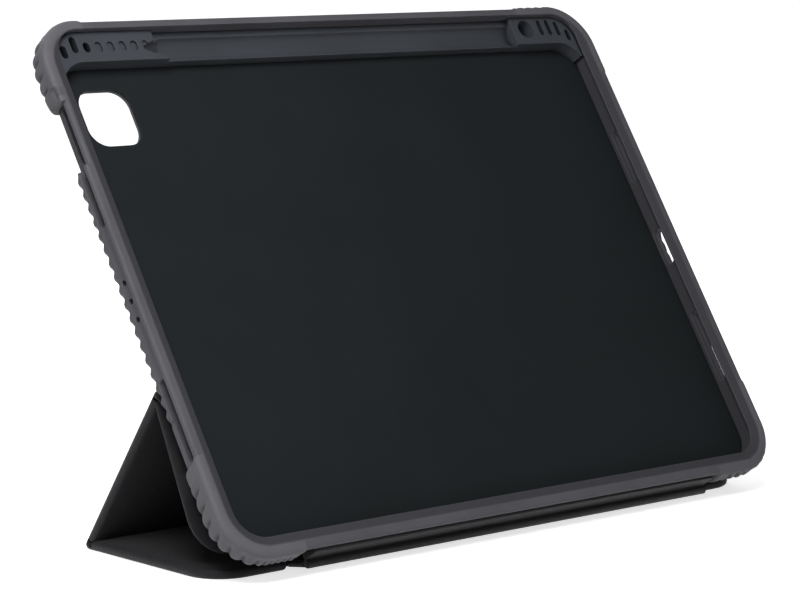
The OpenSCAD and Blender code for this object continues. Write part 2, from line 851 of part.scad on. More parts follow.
module flap_magnets() {
    color(steel) on_panel(top_at, flap_turn)
        magnet_row(magnet_d, -panel_t / 2 + lining_t, panel_t / 2 - skin_t);
}

bumper_frame();
back_plate();
corner_bumper_top_left();
corner_bumper_top_right();
corner_bumper_bottom_left();
corner_bumper_bottom_right();
tray_tip_block();
tray_end_block();
tray_cradle();
camera_bezel();
keeper_plate();
spine_anchor();
spine_skin();
spine_stiffener();
spine_lining();
front_fold();
base_skin();
base_board();
base_lining();
rear_fold();
strut_skin();
strut_board();
strut_lining();
top_fold();
flap_skin();
flap_board();
flap_lining();
flap_magnets();
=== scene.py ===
import json
import math

import bmesh
import bpy
from mathutils import Matrix, Vector


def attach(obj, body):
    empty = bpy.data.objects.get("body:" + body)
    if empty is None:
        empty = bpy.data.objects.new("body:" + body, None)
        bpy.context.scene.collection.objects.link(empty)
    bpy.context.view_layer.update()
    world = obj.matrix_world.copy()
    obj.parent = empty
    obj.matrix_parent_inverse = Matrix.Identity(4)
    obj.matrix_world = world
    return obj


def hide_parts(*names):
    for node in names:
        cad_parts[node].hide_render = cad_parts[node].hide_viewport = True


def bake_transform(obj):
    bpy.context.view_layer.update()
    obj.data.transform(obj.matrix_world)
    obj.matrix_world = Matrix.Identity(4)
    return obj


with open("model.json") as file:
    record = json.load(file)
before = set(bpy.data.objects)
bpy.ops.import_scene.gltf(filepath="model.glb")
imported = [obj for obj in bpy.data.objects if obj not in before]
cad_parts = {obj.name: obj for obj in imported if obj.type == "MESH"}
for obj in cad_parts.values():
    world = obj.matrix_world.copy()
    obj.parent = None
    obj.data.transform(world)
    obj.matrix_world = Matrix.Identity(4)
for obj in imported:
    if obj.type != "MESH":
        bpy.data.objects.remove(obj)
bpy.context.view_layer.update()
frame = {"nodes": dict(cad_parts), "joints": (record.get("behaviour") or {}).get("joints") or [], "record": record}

scene = bpy.context.scene
nodes = frame["nodes"]
joints = {j["name"]: j for j in frame["joints"]}
mounts = {m["name"]: m for m in frame["record"]["mounts"]}
mm = 0.001  # the pieces' sizes are in millimetres, the studio's and the finishes' in metres


# Places: the case leans back, and each cover panel turns about its folds
caseSize = dict(spaceH=178.5, plateZ=-6.1, frameW=258.0, frameY0=-5.2, frameY1=193.4, frameR=17.0)
frameMid = (0.0, (caseSize["frameY0"] + caseSize["frameY1"]) / 2)
frameHalf = (caseSize["frameW"] / 2, (caseSize["frameY1"] - caseSize["frameY0"]) / 2)


def findCase():
    pocket = mounts["tablet_pocket"]
    out = Vector(pocket["axis"]).normalized()
    right = Vector((1, 0, 0))
    up = out.cross(right)
    middle = up * caseSize["spaceH"] / 2 * mm + out * caseSize["plateZ"] * mm
    place = Matrix((right, up, out)).transposed().to_4x4()
    place.translation = Vector(pocket["pos_m"]) - middle
    return place


def foldAt(name):
    return Vector(joints[name]["pos_m"])


def heading(a, b):
    return math.atan2(b.z - a.z, b.y - a.y)


def panelPlace(fold, turn):
    return Matrix.Translation(foldAt(fold)) @ Matrix.Rotation(turn, 4, "X")


casePlace = findCase()
spineTurn = heading(foldAt("spine_fold"), foldAt("base_fold"))
strutTurn = heading(foldAt("rear_fold"), foldAt("top_fold"))
flapTurn = strutTurn + math.radians(joints["top_fold"]["range_deg"][1])
print("places found")


# Camera, light and floor
view = dict(place=(-0.6982, -0.77065, 0.2135), ahead=(0.6582, 0.7416, -0.1297), lens=133.3, sensor=36.0)


def addCamera():
    scene.view_settings.view_transform = "Standard"
    camera = bpy.data.cameras.new("camera")
    camera.lens = view["lens"]
    camera.sensor_width = view["sensor"]
    holder = bpy.data.objects.new("camera", camera)
    holder.location = view["place"]
    holder.rotation_euler = Vector(view["ahead"]).to_track_quat("-Z", "Y").to_euler()
    scene.collection.objects.link(holder)
    scene.camera = holder


studio = dict(
    world=0.14,
    lamps=(
        dict(name="keyLamp", place=(-0.36, -0.27, 0.55), size=0.35, watts=4.4),
        dict(name="fillLamp", place=(-0.5, -1.5, 0.7), size=1.0, watts=1.0),
        dict(name="rearLamp", place=(0.2, 0.95, 0.75), size=0.8, watts=6.0),
    ),
    aim=(0, 0, 0.06),
)


def addLamps():
    world = bpy.data.worlds.new("studioWorld")
    world.use_nodes = True
    sky = world.node_tree.nodes["Background"]
    sky.inputs["Color"].default_value = (1, 1, 1, 1)
    sky.inputs["Strength"].default_value = studio["world"]
    scene.world = world
    for spec in studio["lamps"]:
        lamp = bpy.data.lights.new(spec["name"], "AREA")
        lamp.shape = "DISK"
        lamp.size = spec["size"]
        lamp.energy = spec["watts"]
        holder = bpy.data.objects.new(spec["name"], lamp)
        holder.location = spec["place"]
        aim = Vector(studio["aim"]) - holder.location
        holder.rotation_euler = aim.to_track_quat("-Z", "Y").to_euler()
        scene.collection.objects.link(holder)


# The floor glows for the camera, more so far from the object, and turns up at its rim into a plain white wall
floorSpec = dict(reach=11.0, bend=1.0, wall=2.0, sides=64, bendSteps=6, colour=(0.80, 0.80, 0.80, 1),
                 nearGlow=0.72, farGlow=1.0, near=0.15, far=0.8)


def floorMesh():
    sides, bend = floorSpec["sides"], floorSpec["bend"]
    rim = []
    for k in range(floorSpec["bendSteps"] + 1):
        a = math.pi / 2 * k / floorSpec["bendSteps"]
        rim.append((floorSpec["reach"] + bend * math.sin(a), bend * (1 - math.cos(a))))
    rim.append((floorSpec["reach"] + bend, floorSpec["wall"]))
    turns = [2 * math.pi * i / sides for i in range(sides)]
    points = [(r * math.cos(t), r * math.sin(t), z) for r, z in rim for t in turns]
    faces = [tuple(range(sides))]
    for k in range(len(rim) - 1):
        for i in range(sides):
            j = (i + 1) % sides
            faces.append((k * sides + i, (k + 1) * sides + i, (k + 1) * sides + j, k * sides + j))
    mesh = bpy.data.meshes.new("floor")
    mesh.from_pydata(points, [], faces)
    return mesh


def addFloor():
    mesh = floorMesh()
    floor = bpy.data.objects.new("floor", mesh)
    scene.collection.objects.link(floor)
    mat = bpy.data.materials.new("paleFloor")
    mat.use_nodes = True
    tree = mat.node_tree
    tree.nodes.clear()
    paper = tree.nodes.new("ShaderNodeBsdfDiffuse")
    paper.inputs["Color"].default_value = floorSpec["colour"]
    rays = tree.nodes.new("ShaderNodeLightPath")
    seen = tree.nodes.new("ShaderNodeMath")
    seen.operation = "MAXIMUM"
    tree.links.new(rays.outputs["Is Camera Ray"], seen.inputs[0])
    tree.links.new(rays.outputs["Is Glossy Ray"], seen.inputs[1])
    through = tree.nodes.new("ShaderNodeMath")
    through.operation = "MAXIMUM"
    tree.links.new(seen.outputs[0], through.inputs[0])
    tree.links.new(rays.outputs["Is Transmission Ray"], through.inputs[1])
    reach = tree.nodes.new("ShaderNodeVectorMath")
    reach.operation = "LENGTH"
    tree.links.new(tree.nodes.new("ShaderNodeTexCoord").outputs["Object"], reach.inputs[0])
    fade = tree.nodes.new("ShaderNodeMapRange")
    fade.interpolation_type = "SMOOTHSTEP"
    tree.links.new(reach.outputs["Value"], fade.inputs["Value"])
    fade.inputs["From Min"].default_value = floorSpec["near"]
    fade.inputs["From Max"].default_value = floorSpec["far"]
    fade.inputs["To Min"].default_value = floorSpec["nearGlow"]
    fade.inputs["To Max"].default_value = floorSpec["farGlow"]
    level = tree.nodes.new("ShaderNodeMath")
    level.operation = "MULTIPLY"
    tree.links.new(through.outputs[0], level.inputs[0])
    tree.links.new(fade.outputs["Result"], level.inputs[1])
    glow = tree.nodes.new("ShaderNodeEmission")
    tree.links.new(level.outputs[0], glow.inputs["Strength"])
    both = tree.nodes.new("ShaderNodeAddShader")
    tree.links.new(paper.outputs[0], both.inputs[0])
    tree.links.new(glow.outputs[0], both.inputs[1])
    out = tree.nodes.new("ShaderNodeOutputMaterial")
    tree.links.new(both.outputs[0], out.inputs["Surface"])
    mesh.materials.append(mat)


addCamera()
addLamps()
addFloor()
print("camera, lamps and floor set")


# Materials
class Finish:
    def __init__(self, name):
        self.mat = bpy.data.materials.new(name)
        self.mat.use_nodes = True
        self.tree = self.mat.node_tree
        self.shader = self.tree.nodes["Principled BSDF"]
        self.coords = self.tree.nodes.new("ShaderNodeTexCoord").outputs["Object"]

    def add(self, kind, **settings):
        node = self.tree.nodes.new(kind)
        for key, value in settings.items():
            setattr(node, key, value)
        return node

    def feed(self, socket, value):
        if isinstance(value, bpy.types.NodeSocket):
            self.tree.links.new(value, socket)
        else:
            socket.default_value = value

    def noise(self, scale, detail, rough):
        node = self.add("ShaderNodeTexNoise")
        self.feed(node.inputs["Vector"], self.coords)
        self.feed(node.inputs["Scale"], scale)
        self.feed(node.inputs["Detail"], detail)
        self.feed(node.inputs["Roughness"], rough)
        return node.outputs["Fac"]

    def cells(self, scale, feature="F1"):
        node = self.add("ShaderNodeTexVoronoi", feature=feature)
        self.feed(node.inputs["Vector"], self.coords)
        self.feed(node.inputs["Scale"], scale)
        return node.outputs["Distance"]

    def span(self, value, low, high, fromLow=0.0, fromHigh=1.0):
        node = self.add("ShaderNodeMapRange")
        self.feed(node.inputs["Value"], value)
        self.feed(node.inputs["From Min"], fromLow)
        self.feed(node.inputs["From Max"], fromHigh)
        self.feed(node.inputs["To Min"], low)
        self.feed(node.inputs["To Max"], high)
        return node.outputs["Result"]

    def combine(self, a, b, operation="ADD"):
        node = self.add("ShaderNodeMath", operation=operation)
        self.feed(node.inputs[0], a)
        self.feed(node.inputs[1], b)
        return node.outputs["Value"]

    # The numbers are the node's colour sockets
    def blendColour(self, fac, a, b):
        node = self.add("ShaderNodeMix", data_type="RGBA")
        self.feed(node.inputs[0], fac)
        self.feed(node.inputs[6], a)
        self.feed(node.inputs[7], b)
        return node.outputs[2]

    def clouded(self, value, dark, light, fromLow=0.3, fromHigh=0.7):
        return self.blendColour(self.span(value, 0.0, 1.0, fromLow, fromHigh), dark, light)

    def roughness(self, value, low, high, fromLow=0.3, fromHigh=0.7):
        return self.span(value, low, high, fromLow, fromHigh)

    # Soft edges on sharp moulded corners, and a mask that is bright along them
    def softEdge(self, radius):
        node = self.add("ShaderNodeBevel", samples=6)
        self.feed(node.inputs["Radius"], radius)
        return node.outputs["Normal"]

    def edgeMask(self, radius, gain, sharpest=0.75):
        soft = self.softEdge(radius)
        flat = self.add("ShaderNodeNewGeometry").outputs["Normal"]
        dot = self.add("ShaderNodeVectorMath", operation="DOT_PRODUCT")
        self.feed(dot.inputs[0], soft)
        self.feed(dot.inputs[1], flat)
        return self.span(dot.outputs["Value"], gain, 0.0, sharpest, 1.0)

    # Painted shade: one in slots and grooves narrower than the reach, which ambient occlusion finds enclosed, so
    # they render dark
    def cavityShadeMask(self, reach, low, high):
        node = self.add("ShaderNodeAmbientOcclusion", samples=8)
        self.feed(node.inputs["Distance"], reach)
        return self.span(node.outputs["AO"], 1.0, 0.0, low, high)

    def bump(self, height, depth, strength, normal=None):
        node = self.add("ShaderNodeBump")
        self.feed(node.inputs["Height"], height)
        self.feed(node.inputs["Distance"], depth)
        self.feed(node.inputs["Strength"], strength)
        if normal is not None:
            self.feed(node.inputs["Normal"], normal)
        return node.outputs["Normal"]

    def set(self, **values):
        names = dict(colour="Base Color", rough="Roughness", level="Specular IOR Level", metal="Metallic",
                     sheen="Sheen Weight", sheenRough="Sheen Roughness", normal="Normal")
        for key, value in values.items():
            self.feed(self.shader.inputs[names[key]], value)
        return self.mat


# A colour from screen values of 0 to 255
def shade(red, green, blue):
    def linear(c):
        c = c / 255
        return c / 12.92 if c <= 0.04045 else ((c + 0.055) / 1.055) ** 2.4
    return (linear(red), linear(green), linear(blue), 1.0)


def toned(colour, share):
    return tuple(c * share for c in colour[:3]) + (1,)


# Painted shade: one on the frame's inner slope and pocket walls, whose colour is darkened there to stand in for
# shade, and nought on its crown
lipShadeBand = dict(start=3.1, full=3.7, back=-7.4, soft=0.3)


def lipShadeMask(finish):
    toCase = finish.add("ShaderNodeMapping", vector_type="TEXTURE")
    finish.feed(toCase.inputs["Vector"], finish.coords)
    finish.feed(toCase.inputs["Location"], casePlace.translation)
    finish.feed(toCase.inputs["Rotation"], casePlace.to_euler())
    apart = finish.add("ShaderNodeSeparateXYZ")
    finish.feed(apart.inputs[0], toCase.outputs[0])
    past = []
    for axis, centre, half in zip("XY", frameMid, frameHalf):
        offset = finish.combine(apart.outputs[axis], centre * mm, "SUBTRACT")
        distance = finish.combine(offset, 0.0, "ABSOLUTE")
        straight = (half - caseSize["frameR"]) * mm
        past.append(finish.combine(finish.combine(distance, straight, "SUBTRACT"), 0.0, "MAXIMUM"))
    squares = finish.combine(finish.combine(past[0], 2.0, "POWER"), finish.combine(past[1], 2.0, "POWER"))
    reach = finish.combine(squares, 0.5, "POWER")
    edge, back = caseSize["frameR"], lipShadeBand["back"]
    inside = finish.span(reach, 1.0, 0.0, (edge - lipShadeBand["full"]) * mm, (edge - lipShadeBand["start"]) * mm)
    front = finish.span(apart.outputs["Z"], 0.0, 1.0, (back - lipShadeBand["soft"]) * mm, back * mm)
    return finish.combine(inside, front, "MULTIPLY")


# Soft moulded polymer: a fine spark-eroded grain, faint cloudiness and paler worn edges, with painted shade in the
# rib grooves and in slots
rubber = dict(
    cloud=dict(scale=38, detail=3.0, rough=0.6), dark=0.90, light=1.10, edge=0.0005, worn=0.5,
    groove=0.8, grooveFrom=0.2, grooveFull=0.75, cavity=dict(reach=0.003, low=0.2, high=0.6), deep=0.25,
    speck=dict(scale=900, detail=2.0, rough=0.7), speckShare=0.6, cells=2600, grainDeep=0.00006, grain=0.45,
    roughShift=0.07, level=0.2,
)


def mouldedRubber(name, colour, worn, rough, lipShade=None, grooveShade=None):
    finish = Finish(name)
    cloud = finish.noise(**rubber["cloud"])
    speck = finish.noise(**rubber["speck"])
    body = finish.clouded(cloud, toned(colour, rubber["dark"]), toned(colour, rubber["light"]))
    # Painted shade on the frame's inner slope and pocket walls
    if lipShade is not None:
        body = finish.blendColour(lipShadeMask(finish), body, lipShade)
    # Painted shade in the rib grooves, deeper where the ribs are pressed further in
    if grooveShade is not None:
        dip = finish.add("ShaderNodeAttribute", attribute_name="ribDip").outputs["Fac"]
        groove = finish.span(dip, 0.0, rubber["groove"], rubber["grooveFrom"], rubber["grooveFull"])
        body = finish.blendColour(groove, body, grooveShade)
    worked = finish.blendColour(finish.edgeMask(rubber["edge"], rubber["worn"]), body, worn)
    # Painted shade in slots and recesses, from ambient occlusion
    cavity = finish.cavityShadeMask(**rubber["cavity"])
    cavityShaded = finish.blendColour(cavity, worked, toned(colour, rubber["deep"]))
    grain = finish.combine(finish.cells(rubber["cells"]), finish.span(speck, 0.0, rubber["speckShare"]))
    normal = finish.bump(grain, rubber["grainDeep"], rubber["grain"], finish.softEdge(rubber["edge"]))
    shine = finish.roughness(speck, rough - rubber["roughShift"], rough + rubber["roughShift"])
    return finish.set(colour=cavityShaded, rough=shine, level=rubber["level"], normal=normal)


# Hard moulded shell: matte, with a finer and flatter grain, and painted shade in its slots and recesses
shell = dict(
    cloud=dict(scale=24, detail=2.0, rough=0.5), dark=0.92, light=1.08, edge=0.0003, worn=0.8,
    cavity=dict(reach=0.004, low=0.25, high=0.75), deep=0.12,
    grit=dict(scale=2200, detail=3.0, rough=0.75), grainDeep=0.00003, grain=0.5, roughShift=0.06, level=0.15,
)


def mouldedShell(name, colour, worn, rough):
    finish = Finish(name)
    cloud = finish.noise(**shell["cloud"])
    grit = finish.noise(**shell["grit"])
    body = finish.clouded(cloud, toned(colour, shell["dark"]), toned(colour, shell["light"]))
    worked = finish.blendColour(finish.edgeMask(shell["edge"], shell["worn"]), body, worn)
    # Painted shade in slots and recesses, from ambient occlusion
    cavity = finish.cavityShadeMask(**shell["cavity"])
    cavityShaded = finish.blendColour(cavity, worked, toned(colour, shell["deep"]))
    normal = finish.bump(grit, shell["grainDeep"], shell["grain"], finish.softEdge(shell["edge"]))
    shine = finish.roughness(grit, rough - shell["roughShift"], rough + shell["roughShift"])
    return finish.set(colour=cavityShaded, rough=shine, level=shell["level"], normal=normal)


# Fine-grained synthetic leather: pebbles of under a millimetre, with smoother worn tops
leather = dict(
    cloud=dict(scale=18, detail=3.0, rough=0.55), dark=0.80, pebbles=1500, top=0.35, topReach=0.45,
    pebbleReach=0.6, crease=dict(scale=420, detail=4.0, rough=0.6), creaseShare=0.5, grainDeep=0.00008,
    grain=0.55, roughTop=0.50, roughLow=0.66, roughReach=0.5, level=0.2, sheen=0.08, sheenRough=0.5,
)


def grainedSkin(name, colour, worn):
    finish = Finish(name)
    pebble = finish.cells(leather["pebbles"], "SMOOTH_F1")
    crease = finish.noise(**leather["crease"])
    cloud = finish.noise(**leather["cloud"])
    body = finish.clouded(cloud, toned(colour, leather["dark"]), colour)
    top = finish.span(pebble, leather["top"], 0.0, 0.0, leather["topReach"])
    topped = finish.blendColour(top, body, worn)
    dome = finish.span(pebble, 1.0, 0.0, 0.0, leather["pebbleReach"])
    height = finish.combine(dome, finish.span(crease, 0.0, leather["creaseShare"]))
    normal = finish.bump(height, leather["grainDeep"], leather["grain"])
    shine = finish.roughness(pebble, leather["roughTop"], leather["roughLow"], 0.0, leather["roughReach"])
    return finish.set(colour=topped, rough=shine, level=leather["level"], sheen=leather["sheen"],
                      sheenRough=leather["sheenRough"], normal=normal)


# Short-napped microfibre: tiny fibre specks, brushed patches and a soft sheen
nap = dict(
    fibre=dict(scale=3400, detail=3.0, rough=0.8), fleck=0.35, fleckFrom=0.5, fleckFull=0.75,
    patch=dict(scale=45, detail=4.0, rough=0.65), patchFrom=0.35, patchFull=0.65, patchShare=0.4,
    napDeep=0.00009, strength=0.6, rough=0.92, level=0.2, sheen=0.35, sheenRough=0.45,
)


def nappedLining(name, colour, brushed):
    finish = Finish(name)
    fibre = finish.noise(**nap["fibre"])
    patch = finish.noise(**nap["patch"])
    body = finish.clouded(patch, colour, brushed, nap["patchFrom"], nap["patchFull"])
    fleck = finish.span(fibre, 0.0, nap["fleck"], nap["fleckFrom"], nap["fleckFull"])
    flecked = finish.blendColour(fleck, body, brushed)
    height = finish.combine(fibre, finish.span(patch, 0.0, nap["patchShare"]))
    normal = finish.bump(height, nap["napDeep"], nap["strength"])
    return finish.set(colour=flecked, rough=nap["rough"], level=nap["level"], sheen=nap["sheen"],
                      sheenRough=nap["sheenRough"], normal=normal)


# Flecked board, sealed inside the panels
board = dict(fleck=dict(scale=700, detail=4.0, rough=0.7), fleckFrom=0.35, fleckFull=0.65, dark=0.75,
             grainDeep=0.00004, grain=0.5, rough=0.85, level=0.3)


def fibreBoard(name, colour):
    finish = Finish(name)
    fleck = finish.noise(**board["fleck"])
    body = finish.clouded(fleck, toned(colour, board["dark"]), colour, board["fleckFrom"], board["fleckFull"])
    normal = finish.bump(fleck, board["grainDeep"], board["grain"])
    return finish.set(colour=body, rough=board["rough"], level=board["level"], normal=normal)


# Plated steel, faintly brushed
steel = dict(brush=dict(scale=1200, detail=2.0, rough=0.6), roughLow=0.28, roughHigh=0.42, brushDeep=0.00001,
             strength=0.4)


def platedSteel(name, colour):
    finish = Finish(name)
    brush = finish.noise(**steel["brush"])
    shine = finish.roughness(brush, steel["roughLow"], steel["roughHigh"])
    normal = finish.bump(brush, steel["brushDeep"], steel["strength"])
    return finish.set(colour=colour, metal=1.0, rough=shine, normal=normal)


# The frame's lip colour is painted shade for its inner slope
frameRubber = mouldedRubber("frameRubber", shade(80, 79, 84), worn=shade(94, 93, 98), rough=0.6,
                            lipShade=shade(58, 58, 62))
# The bumper's groove colour is painted shade for its rib grooves
bumperRubber = mouldedRubber("bumperRubber", shade(89, 88, 93), worn=shade(105, 104, 109), rough=0.58,
                             grooveShade=shade(34, 34, 37))
slateShell = mouldedShell("slateShell", shade(60, 63, 68), worn=shade(86, 89, 93), rough=0.5)
plateShell = mouldedShell("plateShell", shade(24, 28, 30), worn=shade(38, 41, 43), rough=0.75)
coverSkin = grainedSkin("coverSkin", shade(28, 28, 31), worn=shade(42, 42, 45))
coverLining = nappedLining("coverLining", shade(26, 26, 29), brushed=shade(37, 37, 40))
boardFibre = fibreBoard("boardFibre", shade(118, 117, 116))
steelPlate = platedSteel("steelPlate", shade(176, 178, 181))

nodeFinish = dict(
    bumper_frame=frameRubber, camera_bezel=frameRubber, back_plate=plateShell,
    tray_tip_block=slateShell, tray_end_block=slateShell, tray_cradle=slateShell,
    keeper_plate=steelPlate, flap_magnets=steelPlate, spine_stiffener=boardFibre,
    base_board=boardFibre, strut_board=boardFibre, flap_board=boardFibre,
)


def finishNode(name, mat):
    mesh = nodes[name].data
    mesh.materials.clear()
    mesh.materials.append(mat)


for name, mat in nodeFinish.items():
    finishNode(name, mat)
for name in nodes:
    if name.startswith("corner_bumper"):
        finishNode(name, bumperRubber)
    elif name.endswith(("_skin", "_fold", "_anchor")):
        finishNode(name, coverSkin)
    elif name.endswith("_lining"):
        finishNode(name, coverLining)
print("materials set")


# Mesh helpers
sharpAngle = math.radians(50)
leastRadius = 0.05


def makePiece(name, points, faces, mat, place):
    mesh = bpy.data.meshes.new(name)
    mesh.from_pydata([tuple(c * mm for c in p) for p in points], [], faces)
    mesh.transform(place)
    body = bmesh.new()
    body.from_mesh(mesh)
    bmesh.ops.recalc_face_normals(body, faces=body.faces)
    body.to_mesh(mesh)
    body.free()
    mesh.materials.append(mat)
    mesh.shade_smooth()
    mesh.set_sharp_from_angle(angle=sharpAngle)
    piece = bpy.data.objects.new(name, mesh)
    scene.collection.objects.link(piece)
    return piece


# Rings of equal length joined into a skin, with both ends closed
def loftFaces(rings, count):
    faces = []
    for k in range(rings - 1):
        for i in range(count):
            j = (i + 1) % count
            faces.append((k * count + i, k * count + j, (k + 1) * count + j, (k + 1) * count + i))
    faces.append(tuple(reversed(range(count))))
    faces.append(tuple((rings - 1) * count + i for i in range(count)))
    return faces


def loftPiece(name, rings, mat, place):
    points = [p for ring in rings for p in ring]
    return makePiece(name, points, loftFaces(len(rings), len(rings[0])), mat, place)


# An outline with each edge moved in by its own distance and each corner rounded
def filletRing(corners, radii, insets, steps=8):
    count = len(corners)
    edges = []
    for i in range(count):
        a = Vector(corners[i])
        along = (Vector(corners[(i + 1) % count]) - a).normalized()
        edges.append((a + Vector((-along.y, along.x)) * insets[i], along))
    ring = []
    for i in range(count):
        (p, d), (q, e) = edges[i - 1], edges[i]
        cross = d.x * e.y - d.y * e.x
        corner = p + d * (((q.x - p.x) * e.y - (q.y - p.y) * e.x) / cross)
        side = 1 if cross > 0 else -1
        radius = radii[i] - min(insets[i - 1], insets[i]) if side > 0 else radii[i]
        radius = max(radius, leastRadius)
        turn = math.acos(max(-1, min(1, d.dot(e))))
        start = corner - d * radius * math.tan(turn / 2)
        centre = start + Vector((-d.y, d.x)) * radius * side
        arm = start - centre
        for k in range(steps + 1):
            a = side * turn * k / steps
            ring.append((centre.x + arm.x * math.cos(a) - arm.y * math.sin(a),
                         centre.y + arm.x * math.sin(a) + arm.y * math.cos(a)))
    return ring


# Cover panels: y runs from one fold to the next, z points to the outer skin
cover = dict(
    half=126.0, spineHalf=95.0, notchHalf=95.6, ear=3.0, thick=3.6, spineThick=2.4, flapLen=55.0,
    frontRadius=14.0, notchRadius=0.8, flapRadius=13.0, foldCorner=0.8, bead=1.8, spineBead=1.5, foldGap=0.2,
)
# Half the room at a fold on the skin's side and on the lining's, in degrees; the slack keeps two skins apart
foldRoom = dict(slack=1.5, plain=89.0, front=(84.0, 43.5), spine=(55.0, 69.0))


def foldSide(reach, skinAngle, liningAngle):
    return dict(reach=reach, skin=math.radians(skinAngle), lining=math.radians(liningAngle))


# How far a panel's end stays from its fold's middle, at a height z
def foldReach(side, z):
    bead = side["reach"] + cover["foldGap"]
    clear = math.sqrt(max(0.0, bead * bead - z * z))
    angle = side["skin"] if z > 0 else side["lining"]
    return max(clear, cover["foldGap"] + abs(z) / math.tan(angle))


def halfFold(a, b):
    return math.degrees(math.pi - abs(b - a)) / 2 - foldRoom["slack"]


foldRear = foldSide(cover["bead"], halfFold(0, strutTurn), foldRoom["plain"])
foldTop = foldSide(cover["bead"], halfFold(strutTurn, flapTurn), foldRoom["plain"])
foldFront = foldSide(cover["bead"], *foldRoom["front"])
foldSpine = foldSide(cover["spineBead"], *foldRoom["spine"])

spineLen = (foldAt("base_fold") - foldAt("spine_fold")).length / mm
baseLen = (foldAt("rear_fold") - foldAt("base_fold")).length / mm
strutLen = (foldAt("top_fold") - foldAt("rear_fold")).length / mm


def plainPanel(half, length, endRadius, startFold, endFold):
    return dict(
        corners=[(-half, 0), (half, 0), (half, length), (-half, length)],
        radii=[cover["foldCorner"], cover["foldCorner"], endRadius, endRadius],
        folds={0: startFold, 2: endFold} if endFold else {0: startFold},
    )


def basePanel():
    half, notch, ear = cover["half"], cover["notchHalf"], -cover["ear"]
    front, inner, rear = cover["frontRadius"], cover["notchRadius"], cover["foldCorner"]
    return dict(
        corners=[(-half, ear), (-notch, ear), (-notch, 0), (notch, 0), (notch, ear), (half, ear),
                 (half, baseLen), (-half, baseLen)],
        radii=[front, inner, inner, inner, inner, front, rear, rear],
        folds={2: foldFront, 6: foldRear},
    )


def panelRing(panel, inset, z, atFold):
    insets = []
    for i in range(len(panel["corners"])):
        insets.append(max(atFold, foldReach(panel["folds"][i], z)) if i in panel["folds"] else inset)
    return [(x, y, z) for x, y in filletRing(panel["corners"], panel["radii"], insets)]


# The skin is turned round the edges on to the lining's side; edge is the thickness that it keeps there
turnedEdge = dict(lap=0.9, gap=0.1, lip=0.35, lipLow=0.06, shy=0.05, steps=8, crownIn=6.0, crownRun=2.0,
                  crownLow=0.05)
# The lining lies this deep in the skin, and its edge is rounded in steps, each inwards and up
liningEdge = dict(deep=0.4, sunk=0.05, overlap=1.0, fromFold=4.3,
                  edge=((0.12, 0.0), (0.03, 0.05), (0.0, 0.14)))


def skinPiece(name, panel, thick, edge, linedIn, liningFromFold, place):
    half = thick / 2
    bow = edge / 2 - turnedEdge["shy"]
    middle = half - edge / 2
    bed, low = liningEdge["deep"] - half, turnedEdge["lipLow"] - half
    under = ((turnedEdge["lap"], bed), (-turnedEdge["gap"], bed), (-turnedEdge["lip"], low))
    profile = [(linedIn + more, z, liningFromFold + more) for more, z in under]
    for k in range(turnedEdge["steps"] + 1):
        a = math.pi * (k / turnedEdge["steps"] - 0.5)
        profile.append((bow * (1 - math.cos(a)), middle + bow * math.sin(a), 0.0))
    crown, swell = turnedEdge["crownIn"], turnedEdge["crownIn"] - turnedEdge["crownRun"]
    profile += [(swell, half - turnedEdge["crownLow"], 0.0), (crown, half, swell)]
    rings = [panelRing(panel, inset, z, atFold) for inset, z, atFold in profile]
    return loftPiece(name, rings, coverSkin, place)


def liningPiece(name, panel, thick, linedIn, liningFromFold, place):
    half = thick / 2
    overlap, deep = liningEdge["overlap"], liningEdge["deep"] + liningEdge["sunk"]
    profile = [(overlap, 0.0), *liningEdge["edge"], (0.0, deep), (overlap, deep)]
    rings = [panelRing(panel, linedIn + more, up - half, liningFromFold + more) for more, up in profile]
    return loftPiece(name, rings, coverLining, place)


basePlace = panelPlace("base_fold", 0.0)
strutPlace = panelPlace("rear_fold", strutTurn)
flapPlace = panelPlace("top_fold", flapTurn)
spinePlace = panelPlace("spine_fold", spineTurn)
panels = dict(
    base=dict(plan=basePanel(),
              thick=cover["thick"], edge=cover["thick"], place=basePlace, board="base_board", linedIn=3.1,
              liningFromFold=liningEdge["fromFold"], skinCut=(264, 78), liningCut=(246, 60)),
    strut=dict(plan=plainPanel(cover["half"], strutLen, cover["foldCorner"], foldRear, foldTop),
               thick=cover["thick"], edge=cover["thick"], place=strutPlace, board="strut_board", linedIn=3.1,
               liningFromFold=liningEdge["fromFold"], skinCut=(264, 68), liningCut=(246, 60)),
    flap=dict(plan=plainPanel(cover["half"], cover["flapLen"], cover["flapRadius"], foldTop, None),
              thick=cover["thick"], edge=1.3, place=flapPlace, board="flap_board", linedIn=7.0,
              liningFromFold=liningEdge["fromFold"], skinCut=(264, 61), liningCut=(238, 44)),
    spine=dict(plan=plainPanel(cover["spineHalf"], spineLen, cover["foldCorner"], foldSpine, foldFront),
               thick=cover["spineThick"], edge=cover["spineThick"], place=spinePlace, board="spine_stiffener",
               linedIn=1.0, liningFromFold=1.0, skinCut=(194, 14), liningCut=(188, 10)),
)


def addPanel(body, panel):
    plan, thick, linedIn, place = panel["plan"], panel["thick"], panel["linedIn"], panel["place"]
    fromFold = panel["liningFromFold"]
    skin = skinPiece(body + "SkinTurned", plan, thick, panel["edge"], linedIn, fromFold, place)
    lining = liningPiece(body + "LiningNapped", plan, thick, linedIn, fromFold, place)
    for piece, layer in ((skin, "skin"), (lining, "lining")):
        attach(piece, body)
        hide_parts(body + "_" + layer)


for body, panel in panels.items():
    addPanel(body, panel)
print("cover panels made")


# Folds: a thin skin that joins two panels, round on the outside, with a wing along each lining
foldStrip = dict(radius=1.8, core=1.5, wing=4.2, tip=0.25, least=0.03, arcSteps=12, coreSteps=18, endSteps=6)


def polar(radius, angle):
    return Vector((radius * math.cos(angle), radius * math.sin(angle)))


